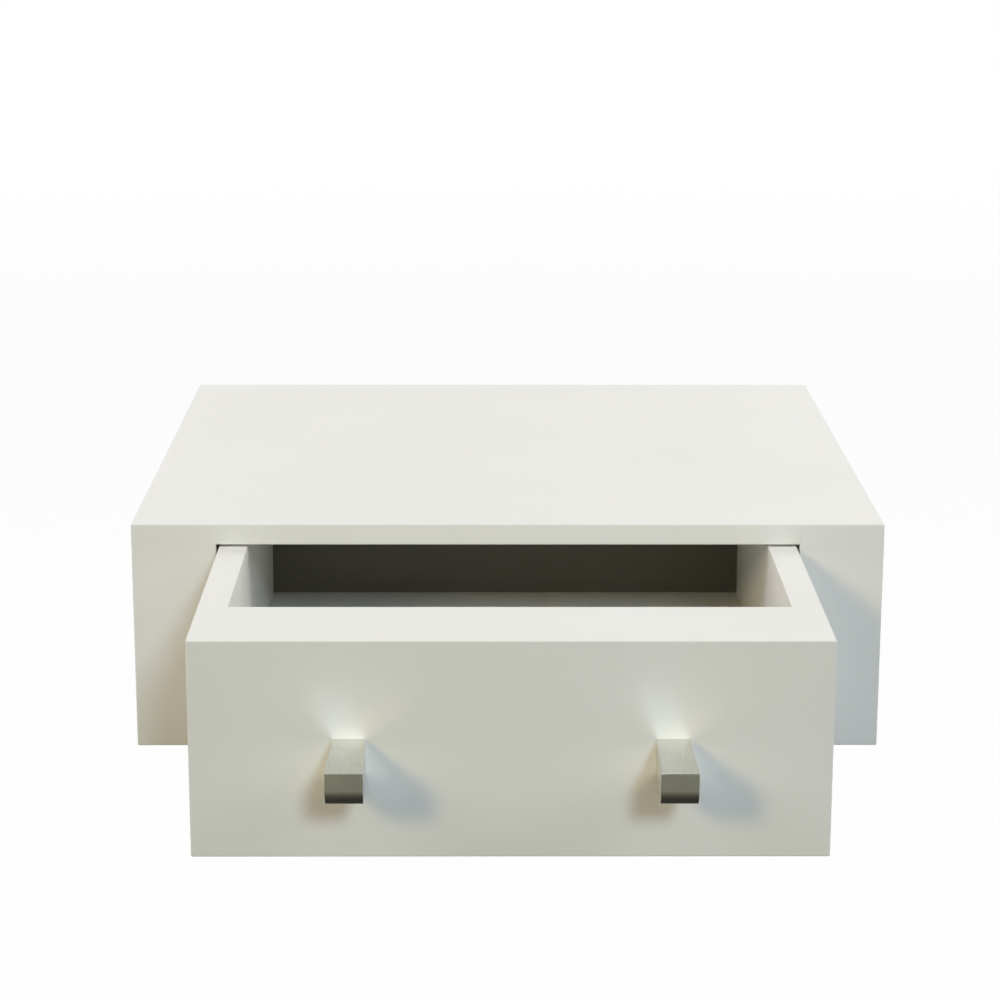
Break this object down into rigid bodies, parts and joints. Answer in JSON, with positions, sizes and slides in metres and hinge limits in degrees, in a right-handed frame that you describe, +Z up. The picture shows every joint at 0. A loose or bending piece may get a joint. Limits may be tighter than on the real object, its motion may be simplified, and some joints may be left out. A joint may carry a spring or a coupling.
{
  "type": "floating nightstand",
  "caption": "Wall-hung bedside table: a lacquered rectangular case with one inset drawer, bar knobs, ball runners under the drawer and interlocking hanging rails.",
  "frame": {"origin": "centre of the wall rail's back face, on the wall plane, on the table's middle plane", "axes": "+Y into the wall, the front and the opening drawer look along -Y, +Z up, +X to the right seen from the front"},
  "size_m": [0.5, 0.7305, 0.1545],
  "materials": {
    "lacquer": "satin white lacquer on fibreboard",
    "raw_board": "unfinished fibreboard, hidden inside",
    "faced_board": "grey-brown satin faced board",
    "satin_nickel": "satin nickel",
    "zinc_steel": "bright zinc plating",
    "mill_aluminium": "mill finish extrusion",
    "white_plastic": "satin white moulding",
    "buffer_rubber": "soft translucent grey"
  },
  "bodies": {
    "case": {"top_panel": "lacquer", "bottom_panel": "lacquer", "back_panel": "lacquer", "left_front_stile": "lacquer", "right_front_stile": "lacquer", "left_outer_panel": "lacquer", "right_outer_panel": "lacquer", "left_inner_panel": "lacquer", "right_inner_panel": "lacquer", "left_underside_strip": "lacquer", "right_underside_strip": "lacquer", "left_rear_post": "raw_board", "right_rear_post": "raw_board", "wall_rail": "mill_aluminium", "case_rail": "mill_aluminium", "case_rail_screw_1": "zinc_steel", "case_rail_screw_2": "zinc_steel", "case_rail_screw_3": "zinc_steel", "case_rail_screw_4": "zinc_steel", "left_stop_buffer": "buffer_rubber", "right_stop_buffer": "buffer_rubber", "left_lower_channel": "zinc_steel", "right_lower_channel": "zinc_steel", "left_lower_channel_screw_rear": "zinc_steel", "left_lower_channel_screw_front": "zinc_steel", "right_lower_channel_screw_rear": "zinc_steel", "right_lower_channel_screw_front": "zinc_steel"},
    "left_lower_cage": {"left_lower_ball_cage": "zinc_steel"},
    "right_lower_cage": {"right_lower_ball_cage": "zinc_steel"},
    "left_middle": {"left_middle_rail": "zinc_steel"},
    "right_middle": {"right_middle_rail": "zinc_steel"},
    "left_upper_cage": {"left_upper_ball_cage": "zinc_steel"},
    "right_upper_cage": {"right_upper_ball_cage": "zinc_steel"},
    "drawer": {"drawer_face_panel": "lacquer", "drawer_inner_front": "lacquer", "drawer_front_top_cap": "lacquer", "drawer_front_bottom_cap": "lacquer", "left_front_end_block": "lacquer", "right_front_end_block": "lacquer", "left_knob_block": "raw_board", "right_knob_block": "raw_board", "left_drawer_side": "lacquer", "right_drawer_side": "lacquer", "drawer_back": "faced_board", "drawer_floor": "lacquer", "left_knob": "satin_nickel", "right_knob": "satin_nickel", "left_knob_screw": "zinc_steel", "right_knob_screw": "zinc_steel", "left_screw_cap": "white_plastic", "right_screw_cap": "white_plastic", "left_upper_channel": "zinc_steel", "right_upper_channel": "zinc_steel", "left_upper_channel_screw_rear": "zinc_steel", "left_upper_channel_screw_front": "zinc_steel", "right_upper_channel_screw_rear": "zinc_steel", "right_upper_channel_screw_front": "zinc_steel"}
  },
  "joints": [
    {"name": "drawer_slide", "type": "slide", "parent": "case", "child": "drawer", "axis": [0, -1, 0], "range_m": [-0.212, 0.138]},
    {"name": "left_middle_slide", "type": "slide", "parent": "case", "child": "left_middle", "axis": [0, -1, 0], "range_m": [-0.1065, 0.0695]},
    {"name": "right_middle_slide", "type": "slide", "parent": "case", "child": "right_middle", "axis": [0, -1, 0], "range_m": [-0.1065, 0.0695]},
    {"name": "left_lower_cage_roll", "type": "slide", "parent": "case", "child": "left_lower_cage", "axis": [0, -1, 0], "range_m": [-0.0535, 0.035]},
    {"name": "right_lower_cage_roll", "type": "slide", "parent": "case", "child": "right_lower_cage", "axis": [0, -1, 0], "range_m": [-0.0535, 0.035]},
    {"name": "left_upper_cage_roll", "type": "slide", "parent": "case", "child": "left_upper_cage", "axis": [0, -1, 0], "range_m": [-0.1595, 0.104]},
    {"name": "right_upper_cage_roll", "type": "slide", "parent": "case", "child": "right_upper_cage", "axis": [0, -1, 0], "range_m": [-0.1595, 0.104]}
  ],
  "couplings": [
    {"joint": "left_middle_slide", "follows": "drawer_slide", "ratio": 0.5},
    {"joint": "right_middle_slide", "follows": "drawer_slide", "ratio": 0.5},
    {"joint": "left_lower_cage_roll", "follows": "drawer_slide", "ratio": 0.25},
    {"joint": "right_lower_cage_roll", "follows": "drawer_slide", "ratio": 0.25},
    {"joint": "left_upper_cage_roll", "follows": "drawer_slide", "ratio": 0.75},
    {"joint": "right_upper_cage_roll", "follows": "drawer_slide", "ratio": 0.75}
  ]
}
